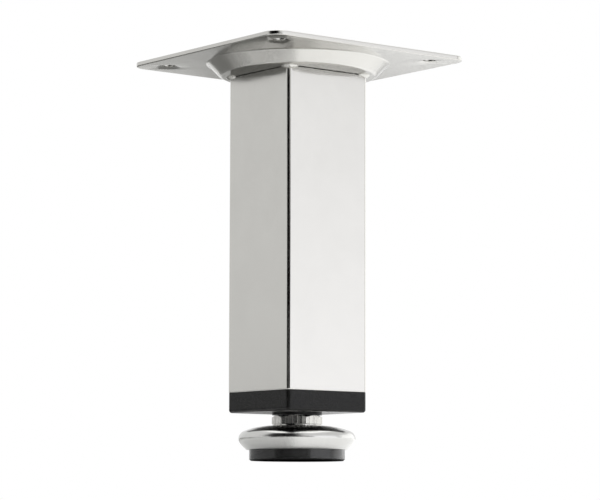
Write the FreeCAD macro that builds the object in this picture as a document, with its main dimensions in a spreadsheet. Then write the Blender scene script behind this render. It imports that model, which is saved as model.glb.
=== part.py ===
"""Adjustable cabinet leg: a square plated tube under a pressed mounting plate, on a screw foot.

Lengths are in millimetres and angles in degrees. The foot stands on z = 0, and the leg is centred on the
z axis.
"""
import FreeCAD
import Part
import Sketcher
import os

# Driving sizes: alias, value and meaning
SIZES = (
    ("tube_side", "40", "outside of the square tube"),
    ("tube_wall", "1.5", "wall of the tube"),
    ("tube_corner", "1.8", "outside corner radius of the tube"),
    ("tube_inner_corner", "0.6", "inside corner radius of the tube"),
    ("tube_length", "127.5", "length of the tube"),
    ("plate_side", "97", "side of the mounting plate"),
    ("plate_thickness", "1.8", "sheet of the mounting plate"),
    ("plate_corner", "6", "corner radius of the mounting plate"),
    ("plate_edge", "0.4", "rounding along the sheared edge of the plate"),
    ("dish_depth", "5", "depth of the round dish below the flat of the plate"),
    ("dish_margin", "1.5", "floor of the dish past the welds, before its edge is rounded"),
    ("dish_slope", "45", "angle of the dish's side to the plate"),
    ("press_bend", "0.8", "inside bend radius of the pressed sheet"),
    ("screw_edge", "11", "distance of a screw hole from each edge of the plate"),
    ("screw_hole", "5.3", "diameter of a screw hole"),
    ("countersink", "10.5", "diameter of the countersink under the plate"),
    ("countersink_angle", "120", "included angle of the countersink"),
    ("weld_leg", "2.6", "leg of a corner weld"),
    ("plug_inset", "0.1", "step from the tube to the plug's collar"),
    ("plug_collar", "8", "height of the collar below the tube"),
    ("plug_floor", "3.5", "floor of the collar"),
    ("plug_edge", "1.2", "rounding under the collar"),
    ("plug_boss", "20", "diameter of the boss under the collar"),
    ("plug_boss_height", "0.9", "height of the boss under the collar"),
    ("spigot_height", "26", "how far the plug stands inside the tube"),
    ("spigot_gap", "0.5", "space between the spigot and the tube"),
    ("spigot_wall", "2", "wall of the spigot"),
    ("spigot_corner", "1", "corner radius of the spigot and its fins"),
    ("fin_gap", "0.05", "space between a fin and the tube"),
    ("fin_height", "1.2", "height of a fin"),
    ("fin_first", "4", "height of the lowest fin above the tube's end"),
    ("fin_reach", "16", "height from the lowest fin to the highest"),
    ("hub_wall", "2.5", "plastic round the corners of the insert"),
    ("hub_roof", "3", "plastic above the insert"),
    ("rib_thickness", "2.4", "thickness of the ribs from hub to spigot"),
    ("insert_flats", "18", "width of the insert across its flats"),
    ("insert_height", "10", "height of the insert"),
    ("insert_floor", "7", "plastic below the insert"),
    ("screw_diameter", "12", "outside diameter of the screw's thread"),
    ("thread_gap", "0.05", "space between the screw and the insert"),
    ("bore_gap", "0.4", "space between the screw and the plug"),
    ("stud_length", "42", "length of the screw above its hexagon"),
    ("stud_tip", "1.2", "chamfer at the screw's tip"),
    ("hex_flats", "18", "width of the screw's hexagon across its flats"),
    ("hex_height", "3.3", "height of the hexagon"),
    ("hex_chamfer", "30", "angle of the chamfer on the hexagon's corners"),
    ("hex_turn", "13.6", "turn of the hexagon at rest"),
    ("hex_collar", "0.6", "height of the round collar under the hexagon"),
    ("hex_collar_step", "0.7", "how far the collar stands out past the flats"),
    ("stop_gap", "0.3", "space between the hexagon and the plug, screwed right in"),
    ("neck_diameter", "8", "neck of the screw in the cap"),
    ("neck_gap", "0.3", "space round the neck"),
    ("swivel_play", "0.1", "play at each face of the swivel"),
    ("rivet_step", "2.5", "how far the riveted end stands out past the neck"),
    ("rivet_height", "1.6", "height of the riveted end"),
    ("rivet_round", "0.9", "rounding of the riveted end"),
    ("washer_step", "4.2", "how far the washer stands out past its hole"),
    ("washer_thickness", "1.2", "thickness of the washer"),
    ("cap_height", "9.4", "height of the cap"),
    ("cap_sheet", "0.8", "sheet of the cap"),
    ("cap_bulge", "3", "how far the cap stands out past its lip"),
    ("cap_tuck", "45", "angle of the cap's tucked-in lower side to the floor"),
    ("cap_fall", "9", "angle of the cap's sloping top to the floor"),
    ("cap_brow", "20", "rounding between the cap's flat middle and its sloping top"),
    ("cap_shoulder", "3.25", "rounding of the cap's shoulder"),
    ("cap_tuck_round", "3.75", "rounding of the cap's lower side"),
    ("cap_round_share", "0.98", "most of the cap's side that these two roundings may take"),
    ("seat_step", "3", "flat of the cap left round the hexagon's collar"),
    ("pad_diameter", "38.1", "diameter of the pad"),
    ("pad_exposed", "4.4", "height of the pad below the cap"),
    ("pad_chamfer", "0.6", "chamfer at the pad's foot"),
    ("pad_gap", "0.1", "space between the pad and the cap"),
    ("pad_snap", "1.5", "how far the pad's flange hooks over the lip"),
    ("pad_flange", "2.4", "height of the pad's flange"),
    ("pad_floor", "3.5", "floor of the pad"),
    ("pad_rim", "6", "width of the ring on the pad that carries the cap"),
    ("pad_room", "1.5", "space between that ring and the washer"),
)

# Sizes that follow from the driving sizes
DERIVED = (
    ("cap_top", "=pad_exposed + cap_height"),
    ("hex_seat", "=cap_top + swivel_play"),
    ("hex_top", "=hex_collar + hex_height"),
    ("boss_face", "=hex_seat + hex_top + stop_gap"),
    ("tube_foot", "=boss_face + plug_boss_height + plug_collar"),
    ("tube_head", "=tube_foot + tube_length"),
    ("plate_face", "=tube_head + dish_depth"),
    ("tube_inside", "=tube_side - 2 * tube_wall"),
    ("tube_corner_place", "=tube_side / 2 - tube_corner"),
    ("dish_floor", "=tube_corner_place * sqrt(2) + tube_corner + weld_leg + dish_margin"),
    ("dish_rim", "=dish_floor + dish_depth / tan(dish_slope)"),
    ("dish_sheet_step", "=plate_thickness * tan(dish_slope / 2)"),
    ("screw_place", "=plate_side / 2 - screw_edge"),
    ("collar_side", "=tube_side - 2 * plug_inset"),
    ("spigot_side", "=tube_inside - 2 * spigot_gap"),
    ("spigot_hollow", "=spigot_side - 2 * spigot_wall"),
    ("fin_side", "=tube_inside - 2 * fin_gap"),
    ("insert_foot", "=insert_floor - plug_collar"),
    ("insert_radius", "=insert_flats / sqrt(3)"),
    ("hub_diameter", "=2 * (insert_radius + hub_wall)"),
    ("hub_height", "=insert_foot + insert_height + hub_roof"),
    ("hex_radius", "=hex_flats / sqrt(3)"),
    ("hex_collar_radius", "=hex_flats / 2 + hex_collar_step"),
    ("hex_clear_radius", "=hex_radius + hex_collar_step"),
    ("hex_chamfer_drop", "=(hex_clear_radius - hex_flats / 2) * tan(hex_chamfer)"),
    ("stud_top", "=hex_top + stud_length"),
    ("neck_hole", "=neck_diameter + 2 * neck_gap"),
    ("grip", "=cap_sheet + washer_thickness + 3 * swivel_play"),
    ("rivet_radius", "=neck_diameter / 2 + rivet_step"),
    ("washer_radius", "=neck_hole / 2 + washer_step"),
    ("washer_foot", "=hex_seat - grip + swivel_play"),
    ("cap_lip", "=pad_diameter / 2 + pad_gap + cap_sheet / sin(cap_tuck)"),
    ("cap_radius", "=cap_lip + cap_bulge"),
    ("cap_tuck_rise", "=cap_bulge * tan(cap_tuck)"),
    ("cap_flat", "=hex_collar_radius + seat_step"),
    ("cap_shoulder_height", "=cap_height - (cap_radius - cap_flat) * tan(cap_fall)"),
    ("cap_wall", "=cap_shoulder_height - cap_tuck_rise"),
    ("cap_shoulder_reach", "=cap_shoulder * tan(45 - cap_fall / 2)"),
    ("cap_tuck_reach", "=cap_tuck_round * tan(45 - cap_tuck / 2)"),
    ("cap_round_fit", "=min(1; cap_round_share * cap_wall / (cap_shoulder_reach + cap_tuck_reach))"),
    ("pad_radius", "=pad_diameter / 2"),
    ("pad_flange_radius", "=pad_radius + pad_snap"),
    ("pad_flange_foot", "=pad_exposed + pad_snap * tan(cap_tuck)"),
    ("pad_room_radius", "=washer_radius + pad_room"),
    ("pad_rim_radius", "=pad_room_radius + pad_rim"),
    ("cap_fall_at_rim", "=(pad_rim_radius - cap_flat) * tan(cap_fall)"),
    ("pad_rim_top", "=cap_top - cap_fall_at_rim - cap_sheet / cos(cap_fall) - pad_gap"),
)

FULL_TURN = 360
SQUARE_CORNERS = 4
HEXAGON_SIDES = 6
FIN_ROWS = 3
# Tolerance for finding edges, and the size that a sketch has before its dimensions are tied to the sheet
NEAR = 0.001
DRAFT = 10
UP = FreeCAD.Vector(0, 0, 1)

doc = FreeCAD.newDocument("cabinet_leg")
sheet = doc.addObject("Spreadsheet::Sheet", "sizes")


def fill_sheet():
    """Write every size into the sheet, one to a row, with its name as alias."""
    sheet.set("A1", "size")
    sheet.set("B1", "value")
    sheet.set("C1", "meaning")
    rows = [*SIZES, *((alias, formula, "derived") for alias, formula in DERIVED)]
    for row, (alias, value, meaning) in enumerate(rows, start=2):
        sheet.set(f"A{row}", alias)
        sheet.set(f"B{row}", value)
        sheet.setAlias(f"B{row}", alias)
        sheet.set(f"C{row}", meaning)
    doc.recompute()


def size(alias):
    """The number that the sheet holds for one size."""
    return float(sheet.get(alias))


def bind(thing, prop, formula):
    """Tie a property to a formula of the sheet's sizes."""
    thing.setExpression(prop, formula)


def new_body(label, seat="0"):
    """A piece modelled from its own seat, and placed with that seat at its height on the leg."""
    body = doc.addObject("PartDesign::Body", label)
    body.Label = label
    bind(body, "Placement.Base.z", seat)
    return body


def origin_part(body, role):
    """One of the body's own origin planes or axes."""
    return next(part for part in body.Origin.OriginFeatures if part.Role == role)


def new_sketch(body, name, plane="XY_Plane", height="0"):
    """A sketch on one of the body's origin planes, raised along that plane's normal."""
    sketch = body.newObject("Sketcher::SketchObject", name)
    sketch.AttachmentSupport = (origin_part(body, plane), [""])
    sketch.MapMode = "FlatFace"
    bind(sketch, "AttachmentOffset.Base.z", height)
    return sketch


def limit(sketch, kind, *where_and_value, name, formula):
    """Add a driving dimension and tie it to the sheet."""
    index = sketch.addConstraint(Sketcher.Constraint(kind, *where_and_value))
    sketch.renameConstraint(index, name)
    bind(sketch, f"Constraints.{name}", formula)


def draw_rectangle(sketch, name, width, depth):
    """A rectangle centred on the sketch's origin."""
    ends = [FreeCAD.Vector(x * DRAFT, y * DRAFT, 0) for x, y in ((-1, -1), (1, -1), (1, 1), (-1, 1))]
    first = sketch.GeometryCount
    for start, end in zip(ends, ends[1:] + ends[:1]):
        sketch.addGeometry(Part.LineSegment(start, end))
    for side in range(SQUARE_CORNERS):
        following = first + (side + 1) % SQUARE_CORNERS
        sketch.addConstraint(Sketcher.Constraint("Coincident", first + side, 2, following, 1))
    for side, kind in enumerate(("Horizontal", "Vertical", "Horizontal", "Vertical")):
        sketch.addConstraint(Sketcher.Constraint(kind, first + side))
    sketch.addConstraint(Sketcher.Constraint("Symmetric", first, 1, first + 1, 2, -1, 1))
    limit(sketch, "DistanceX", first, 1, first, 2, 2 * DRAFT, name=f"{name}_width", formula=width)
    limit(sketch, "DistanceY", first + 1, 1, first + 1, 2, 2 * DRAFT, name=f"{name}_depth", formula=depth)


def draw_circle(sketch, name, diameter):
    """A circle round the sketch's origin."""
    index = sketch.addGeometry(Part.Circle(FreeCAD.Vector(), UP, DRAFT))
    sketch.addConstraint(Sketcher.Constraint("Coincident", index, 3, -1, 1))
    limit(sketch, "Diameter", index, 2 * DRAFT, name=name, formula=diameter)


def draw_section(sketch, corners):
    """A closed outline through named corners, each a pair of formulas; a bare 0 puts it on an axis."""
    names = list(corners)
    points = [FreeCAD.Vector(index + 1, (index % 2) + 1, 0) for index in range(len(names))]
    for start, end in zip(points, points[1:] + points[:1]):
        sketch.addGeometry(Part.LineSegment(start, end))
    for index, name in enumerate(names):
        across, up = corners[name]
        previous = (index - 1) % len(names)
        sketch.addConstraint(Sketcher.Constraint("Coincident", previous, 2, index, 1))
        for kind, axis, formula in (("DistanceX", -2, across), ("DistanceY", -1, up)):
            if formula == "0":
                sketch.addConstraint(Sketcher.Constraint("PointOnObject", index, 1, axis))
            else:
                limit(sketch, kind, index, 1, DRAFT, name=f"{name}_{kind[-1]}", formula=formula)


def add_feature(body, kind, name):
    """A feature of the body, with what it builds on worked out first."""
    doc.recompute()
    return body.newObject(f"PartDesign::{kind}", name)


def pad(body, name, sketch, length, down=False):
    """Thicken a sketch, upwards unless told otherwise."""
    feature = add_feature(body, "Pad", name)
    feature.Profile = sketch
    feature.Reversed = down
    bind(feature, "Length", length)
    return feature


def pocket(body, name, sketch, length):
    """Cut a sketch down into the body."""
    feature = add_feature(body, "Pocket", name)
    feature.Profile = sketch
    bind(feature, "Length", length)
    check_cut(body, feature)
    return feature


def turn(body, name, sketch, kind="Revolution"):
    """Turn a section about the sketch's upright axis, as material or as a groove."""
    feature = add_feature(body, kind, name)
    feature.Profile = sketch
    feature.ReferenceAxis = (sketch, ["V_Axis"])
    feature.Angle = FULL_TURN
    if kind == "Groove":
        check_cut(body, feature)
    return feature


def hexagon(body, name, kind, radius, height, foot="0", angle="0"):
    """A hexagonal prism round the axis, added or taken away."""
    feature = add_feature(body, kind, name)
    feature.AttachmentSupport = (origin_part(body, "XY_Plane"), [""])
    feature.MapMode = "FlatFace"
    feature.Polygon = HEXAGON_SIDES
    bind(feature, "Circumradius", radius)
    bind(feature, "Height", height)
    bind(feature, "AttachmentOffset.Base.z", foot)
    bind(feature, "AttachmentOffset.Rotation.Angle", angle)
    return feature


def check_cut(body, feature):
    """Stop if a cut took nothing away."""
    before = feature.BaseFeature.Shape.Volume
    doc.recompute()
    if feature.Shape.Volume > before - NEAR:
        raise RuntimeError(f"{feature.Name} in {body.Label} cuts nothing")


def round_edges(body, name, radius, chosen):
    """Round the edges of the body that a test picks out."""
    doc.recompute()
    base = body.Tip
    names = [f"Edge{index}" for index, edge in enumerate(base.Shape.Edges, start=1) if chosen(edge)]
    if not names:
        raise RuntimeError(f"{name} in {body.Label} finds no edge")
    feature = add_feature(body, "Fillet", name)
    feature.Base = (base, names)
    bind(feature, "Radius", radius)
    return feature


def is_round(edge, radius, height):
    """Whether an edge is a circle of this radius at this height in its body."""
    curve = edge.Curve
    if not isinstance(curve, Part.Circle):
        return False
    return abs(curve.Radius - radius) < NEAR and abs(curve.Center.z - height) < NEAR


def is_upright(edge, side):
    """Whether an edge is an upright corner of a square of this side."""
    if not isinstance(edge.Curve, Part.Line):
        return False
    low, high = (vertex.Point for vertex in edge.Vertexes)
    at_corner = abs(abs(low.x) - side / 2) < NEAR and abs(abs(low.y) - side / 2) < NEAR
    return at_corner and abs(low.x - high.x) < NEAR and abs(low.y - high.y) < NEAR


def is_level(edge, height):
    """Whether an edge lies flat at this height in its body."""
    return all(abs(vertex.Z - height) < NEAR for vertex in edge.Vertexes)


def copy_round(body, name, features):
    """Repeat features at the four corners of the square."""
    pattern = add_feature(body, "PolarPattern", name)
    pattern.Originals = features
    pattern.Axis = (origin_part(body, "Z_Axis"), [""])
    pattern.Angle = FULL_TURN
    pattern.Occurrences = SQUARE_CORNERS
    body.Tip = pattern
    return pattern


def make_mounting_plate():
    """Square pressed plate, its seat the flat underside; the floor of its dish meets the tube."""
    body = new_body("mounting_plate", "sizes.plate_face")
    outline = new_sketch(body, "plate_outline")
    draw_rectangle(outline, "plate", "sizes.plate_side", "sizes.plate_side")
    pad(body, "plate_sheet", outline, "sizes.plate_thickness")
    side = size("plate_side")
    round_edges(body, "plate_corners", "sizes.plate_corner", lambda edge: is_upright(edge, side))
    top = size("plate_thickness")
    round_edges(body, "plate_sheared_edge", "sizes.plate_edge",
                lambda edge: is_level(edge, 0) or is_level(edge, top))

    bulge = new_sketch(body, "dish_bulge_section", "XZ_Plane")
    draw_section(bulge, {
        "middle": ("0", "0"),
        "floor_middle": ("0", "-sizes.dish_depth"),
        "floor_edge": ("sizes.dish_floor", "-sizes.dish_depth"),
        "rim": ("sizes.dish_rim", "0"),
    })
    turn(body, "dish_bulge", bulge)
    hollow = new_sketch(body, "dish_hollow_section", "XZ_Plane")
    draw_section(hollow, {
        "middle": ("0", "sizes.plate_thickness"),
        "floor_middle": ("0", "sizes.plate_thickness - sizes.dish_depth"),
        "floor_edge": ("sizes.dish_floor - sizes.dish_sheet_step",
                       "sizes.plate_thickness - sizes.dish_depth"),
        "rim": ("sizes.dish_rim - sizes.dish_sheet_step", "sizes.plate_thickness"),
    })
    turn(body, "dish_hollow", hollow, "Groove")
    floor, rim, step = size("dish_floor"), size("dish_rim"), size("dish_sheet_step")
    deep = -size("dish_depth")
    round_edges(body, "dish_outer_bends", "sizes.press_bend + sizes.plate_thickness",
                lambda edge: is_round(edge, floor, deep) or is_round(edge, rim - step, top))
    round_edges(body, "dish_inner_bends", "sizes.press_bend",
                lambda edge: is_round(edge, floor - step, deep + top) or is_round(edge, rim, 0))

    places = new_sketch(body, "screw_hole_place")
    index = places.addGeometry(Part.Circle(FreeCAD.Vector(DRAFT, DRAFT, 0), UP, DRAFT))
    limit(places, "DistanceX", index, 3, DRAFT, name="across", formula="sizes.screw_place")
    limit(places, "DistanceY", index, 3, DRAFT, name="along", formula="sizes.screw_place")
    limit(places, "Diameter", index, 2 * DRAFT, name="bore", formula="sizes.screw_hole")
    hole = add_feature(body, "Hole", "screw_hole")
    hole.Profile = places
    hole.Reversed = True
    hole.DepthType = "ThroughAll"
    hole.HoleCutType = "Countersink"
    bind(hole, "Diameter", "sizes.screw_hole")
    bind(hole, "HoleCutDiameter", "sizes.countersink")
    bind(hole, "HoleCutCountersinkAngle", "sizes.countersink_angle")
    check_cut(body, hole)
    copy_round(body, "screw_holes", [hole])
    return body


def make_leg_tube():
    """Square tube, its seat the end that the plug fills."""
    body = new_body("leg_tube", "sizes.tube_foot")
    section = new_sketch(body, "tube_section")
    draw_rectangle(section, "outside", "sizes.tube_side", "sizes.tube_side")
    draw_rectangle(section, "inside", "sizes.tube_inside", "sizes.tube_inside")
    pad(body, "tube_run", section, "sizes.tube_length")
    outside, inside = size("tube_side"), size("tube_inside")
    round_edges(body, "tube_corners", "sizes.tube_corner", lambda edge: is_upright(edge, outside))
    round_edges(body, "tube_inner_corners", "sizes.tube_inner_corner",
                lambda edge: is_upright(edge, inside))
    return body


def make_corner_welds():
    """A fillet weld round each corner of the tube, its seat the dish's floor."""
    body = new_body("corner_welds", "sizes.tube_head")
    body.AllowCompound = True
    section = new_sketch(body, "bead_section", "XZ_Plane")
    bind(section, "AttachmentOffset.Base.x", "sizes.tube_corner_place")
    bind(section, "AttachmentOffset.Base.z", "-sizes.tube_corner_place")
    draw_section(section, {
        "top_middle": ("0", "0"),
        "top_edge": ("sizes.tube_corner + sizes.weld_leg", "0"),
        "foot_edge": ("sizes.tube_corner", "-sizes.weld_leg"),
        "foot_middle": ("0", "-sizes.weld_leg"),
    })
    bead = turn(body, "bead", section)
    tube = new_sketch(body, "tube_outline")
    draw_rectangle(tube, "tube", "sizes.tube_side", "sizes.tube_side")
    cleared = pocket(body, "tube_clearance", tube, "sizes.weld_leg")
    copy_round(body, "beads", [bead, cleared])
    return body


def make_end_plug():
    """Moulded plug, its seat the shoulder that meets the tube's end."""
    body = new_body("end_plug", "sizes.tube_foot")
    collar = new_sketch(body, "collar_outline")
    draw_rectangle(collar, "collar", "sizes.collar_side", "sizes.collar_side")
    pad(body, "collar", collar, "sizes.plug_collar", down=True)
    side, foot = size("collar_side"), -size("plug_collar")
    round_edges(body, "collar_corners", "sizes.tube_corner", lambda edge: is_upright(edge, side))
    round_edges(body, "collar_under_edge", "sizes.plug_edge", lambda edge: is_level(edge, foot))
    boss = new_sketch(body, "boss_outline", height="-sizes.plug_collar")
    draw_circle(boss, "boss", "sizes.plug_boss")
    pad(body, "boss", boss, "sizes.plug_boss_height", down=True)

    spigot = new_sketch(body, "spigot_outline")
    draw_rectangle(spigot, "spigot", "sizes.spigot_side", "sizes.spigot_side")
    pad(body, "spigot", spigot, "sizes.spigot_height")
    fin = new_sketch(body, "fin_outline", height="sizes.fin_first")
    draw_rectangle(fin, "fin", "sizes.fin_side", "sizes.fin_side")
    row = pad(body, "fin", fin, "sizes.fin_height")
    rows = add_feature(body, "LinearPattern", "fin_rows")
    rows.Originals = [row]
    rows.Direction = (origin_part(body, "Z_Axis"), [""])
    rows.Occurrences = FIN_ROWS
    bind(rows, "Length", "sizes.fin_reach")
    body.Tip = rows
    spigot_side, fin_side = size("spigot_side"), size("fin_side")
    round_edges(body, "spigot_corners", "sizes.spigot_corner",
                lambda edge: is_upright(edge, spigot_side) or is_upright(edge, fin_side))
    hollow = new_sketch(body, "spigot_hollow_outline", height="sizes.spigot_height")
    draw_rectangle(hollow, "hollow", "sizes.spigot_hollow", "sizes.spigot_hollow")
    pocket(body, "spigot_hollow", hollow, "sizes.spigot_height + sizes.plug_collar - sizes.plug_floor")

    inner_floor = "sizes.plug_floor - sizes.plug_collar"
    hub_rise = "sizes.hub_height + sizes.plug_collar - sizes.plug_floor"
    hub = new_sketch(body, "hub_outline", height=inner_floor)
    draw_circle(hub, "hub", "sizes.hub_diameter")
    pad(body, "hub", hub, hub_rise)
    rib_run, rib_wall = "sizes.spigot_side - sizes.spigot_wall", "sizes.rib_thickness"
    for name, across, along in (("rib_across", rib_run, rib_wall), ("rib_along", rib_wall, rib_run)):
        rib = new_sketch(body, f"{name}_outline", height=inner_floor)
        draw_rectangle(rib, "rib", across, along)
        pad(body, name, rib, hub_rise)
    bore = new_sketch(body, "bore_outline", height="sizes.hub_height")
    draw_circle(bore, "bore", "sizes.screw_diameter + 2 * sizes.bore_gap")
    pocket(body, "bore", bore, "sizes.hub_height + sizes.plug_collar + sizes.plug_boss_height")
    cavity = hexagon(body, "insert_cavity", "SubtractivePrism", "sizes.insert_radius",
                     "sizes.insert_height", foot="sizes.insert_foot")
    check_cut(body, cavity)
    return body


def make_threaded_insert():
    """Hexagon nut moulded into the plug, its seat the floor of its cavity."""
    body = new_body("threaded_insert", "sizes.tube_foot + sizes.insert_foot")
    hexagon(body, "nut", "AdditivePrism", "sizes.insert_radius", "sizes.insert_height")
    bore = new_sketch(body, "thread_outline", height="sizes.insert_height")
    draw_circle(bore, "thread", "sizes.screw_diameter + 2 * sizes.thread_gap")
    pocket(body, "thread", bore, "sizes.insert_height")
    return body


def make_adjusting_screw():
    """Screw with a thin hexagon, its seat the collar on the cap; the riveted end hangs below."""
    body = new_body("adjusting_screw", "sizes.hex_seat")
    section = new_sketch(body, "screw_section", "XZ_Plane")
    draw_section(section, {
        "rivet_middle": ("0", "-sizes.grip - sizes.rivet_height"),
        "rivet_foot": ("sizes.rivet_radius", "-sizes.grip - sizes.rivet_height"),
        "rivet_head": ("sizes.rivet_radius", "-sizes.grip"),
        "neck_foot": ("sizes.neck_diameter / 2", "-sizes.grip"),
        "neck_head": ("sizes.neck_diameter / 2", "0"),
        "collar_foot": ("sizes.hex_collar_radius", "0"),
        "collar_head": ("sizes.hex_collar_radius", "sizes.hex_collar"),
        "stud_foot": ("sizes.screw_diameter / 2", "sizes.hex_collar"),
        "stud_shoulder": ("sizes.screw_diameter / 2", "sizes.stud_top - sizes.stud_tip"),
        "stud_edge": ("sizes.screw_diameter / 2 - sizes.stud_tip", "sizes.stud_top"),
        "stud_middle": ("0", "sizes.stud_top"),
    })
    turn(body, "shank", section)
    hexagon(body, "hexagon", "AdditivePrism", "sizes.hex_radius", "sizes.hex_height",
            foot="sizes.hex_collar", angle="sizes.hex_turn")
    chamfer = new_sketch(body, "hexagon_chamfer_section", "XZ_Plane")
    draw_section(chamfer, {
        "flat": ("sizes.hex_flats / 2", "sizes.hex_top"),
        "low": ("sizes.hex_clear_radius", "sizes.hex_top - sizes.hex_chamfer_drop"),
        "high": ("sizes.hex_clear_radius", "sizes.hex_top"),
    })
    turn(body, "hexagon_chamfer", chamfer, "Groove")
    rivet, foot = size("rivet_radius"), -size("grip") - size("rivet_height")
    round_edges(body, "rivet_round", "sizes.rivet_round", lambda edge: is_round(edge, rivet, foot))
    return body


def make_swivel_washer():
    """Washer between the cap and the riveted end of the screw."""
    body = new_body("swivel_washer", "sizes.washer_foot")
    ring = new_sketch(body, "washer_outline")
    draw_circle(ring, "outside", "2 * sizes.washer_radius")
    draw_circle(ring, "hole", "sizes.neck_hole")
    pad(body, "washer", ring, "sizes.washer_thickness")
    return body


def make_foot_cap():
    """Pressed cap, its seat the lower lip: turned solid, rounded, hollowed to the sheet and pierced."""
    body = new_body("foot_cap", "sizes.pad_exposed")
    section = new_sketch(body, "cap_section", "XZ_Plane")
    draw_section(section, {
        "lip_middle": ("0", "0"),
        "lip": ("sizes.cap_lip", "0"),
        "tuck": ("sizes.cap_radius", "sizes.cap_tuck_rise"),
        "shoulder": ("sizes.cap_radius", "sizes.cap_shoulder_height"),
        "brow": ("sizes.cap_flat", "sizes.cap_height"),
        "top_middle": ("0", "sizes.cap_height"),
    })
    turn(body, "cap_form", section)
    radius, flat, top = size("cap_radius"), size("cap_flat"), size("cap_height")
    tuck, shoulder = size("cap_tuck_rise"), size("cap_shoulder_height")
    round_edges(body, "cap_tuck", "sizes.cap_tuck_round * sizes.cap_round_fit",
                lambda edge: is_round(edge, radius, tuck))
    round_edges(body, "cap_shoulder", "sizes.cap_shoulder * sizes.cap_round_fit",
                lambda edge: is_round(edge, radius, shoulder))
    round_edges(body, "cap_brow", "sizes.cap_brow", lambda edge: is_round(edge, flat, top))

    doc.recompute()
    form = body.Tip
    opening = next(f"Face{index}" for index, face in enumerate(form.Shape.Faces, start=1)
                   if all(abs(vertex.Z) < NEAR for vertex in face.Vertexes))
    sheet_wall = add_feature(body, "Thickness", "cap_sheet")
    sheet_wall.Base = (form, [opening])
    sheet_wall.Reversed = True
    bind(sheet_wall, "Value", "sizes.cap_sheet")
    hole = new_sketch(body, "neck_hole_outline", height="sizes.cap_height")
    draw_circle(hole, "neck", "sizes.neck_hole")
    pocket(body, "neck_hole", hole, "2 * sizes.cap_sheet")
    return body


def make_foot_pad():
    """Moulded pad, its seat the floor; its flange hooks over the cap's lip, its ring carries the cap."""
    body = new_body("foot_pad")
    section = new_sketch(body, "pad_section", "XZ_Plane")
    draw_section(section, {
        "foot_middle": ("0", "0"),
        "foot_edge": ("sizes.pad_radius - sizes.pad_chamfer", "0"),
        "side_foot": ("sizes.pad_radius", "sizes.pad_chamfer"),
        "side_head": ("sizes.pad_radius", "sizes.pad_exposed"),
        "flange_foot": ("sizes.pad_flange_radius", "sizes.pad_flange_foot"),
        "flange_head": ("sizes.pad_flange_radius", "sizes.pad_flange_foot + sizes.pad_flange"),
        "ring_foot": ("sizes.pad_rim_radius", "sizes.pad_flange_foot + sizes.pad_flange"),
        "ring_head": ("sizes.pad_rim_radius", "sizes.pad_rim_top"),
        "room_head": ("sizes.pad_room_radius", "sizes.pad_rim_top"),
        "room_foot": ("sizes.pad_room_radius", "sizes.pad_floor"),
        "room_middle": ("0", "sizes.pad_floor"),
    })
    turn(body, "pad_form", section)
    return body


PIECES = (
    make_mounting_plate, make_leg_tube, make_corner_welds, make_end_plug, make_threaded_insert,
    make_adjusting_screw, make_swivel_washer, make_foot_cap, make_foot_pad,
)


def check_model(bodies):
    """Stop if any object failed or any piece is empty or broken."""
    failed = [thing.Name for thing in doc.Objects if {"Invalid", "Error"} & set(thing.State)]
    if failed:
        raise RuntimeError(f"failed objects: {failed}")
    for body in bodies:
        if body.Shape.isNull() or not body.Shape.isValid() or not body.Shape.Solids:
            raise RuntimeError(f"{body.Label} has no sound solid")


fill_sheet()
pieces = [make() for make in PIECES]
doc.recompute()
check_model(pieces)
os.makedirs("parts", exist_ok=True)
for piece in pieces:
    piece.Shape.exportStep(f"parts/{piece.Label}.step")
    box = piece.Shape.BoundBox
    print(piece.Label, len(piece.Shape.Solids), "solids", round(piece.Shape.Volume, 1), "mm3",
          [round(value, 2) for value in (box.XMin, box.YMin, box.ZMin, box.XMax, box.YMax, box.ZMax)])
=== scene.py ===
import math

import bmesh
import bpy
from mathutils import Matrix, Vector


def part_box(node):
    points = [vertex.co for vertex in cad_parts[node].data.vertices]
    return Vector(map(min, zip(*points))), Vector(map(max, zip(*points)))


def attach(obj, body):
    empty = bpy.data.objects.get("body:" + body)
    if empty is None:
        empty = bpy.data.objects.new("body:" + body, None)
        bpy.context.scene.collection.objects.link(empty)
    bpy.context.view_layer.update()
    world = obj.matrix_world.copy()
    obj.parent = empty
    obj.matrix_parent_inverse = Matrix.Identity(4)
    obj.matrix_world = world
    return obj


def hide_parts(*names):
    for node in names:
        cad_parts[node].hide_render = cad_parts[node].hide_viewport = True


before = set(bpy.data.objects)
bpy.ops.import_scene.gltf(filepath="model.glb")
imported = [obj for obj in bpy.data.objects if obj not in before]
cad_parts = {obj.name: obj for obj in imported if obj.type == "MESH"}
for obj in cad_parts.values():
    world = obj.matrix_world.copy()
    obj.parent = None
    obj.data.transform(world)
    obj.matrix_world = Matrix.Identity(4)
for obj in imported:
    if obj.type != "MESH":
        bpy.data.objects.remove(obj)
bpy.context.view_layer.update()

# An adjustable cabinet leg: a square chromed tube welded under a pressed plate, a black plug in its
# lower end, and a swivel foot on a screw. Sizes are in metres, and MM makes them read as millimetres.
MM = 0.001

# Places nearer to each other than NEAR count as one. Points nearer than DOUBLE are merged, and after the
# screw's cuts those nearer than SLIVER.
NEAR = 0.01 * MM
DOUBLE = NEAR / 5
SLIVER = NEAR / 2

# Pressed plate
PLATE_SHEET = 1.8 * MM
PLATE_CORNER = 6.0 * MM
PLATE_EDGE = 0.4 * MM
DISH_FLOOR = 31.64 * MM
DISH_RING = 42.0 * MM
DISH_SLOPE = 45
FLOOR_BEND = 2.6 * MM
RIM_BEND = 1.4 * MM
SCREW_HOLE = 37.5 * MM
HOLE_RADIUS = 2.65 * MM
SINK_RADIUS = 5.25 * MM
SINK_DEPTH = 0.7 * MM

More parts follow.
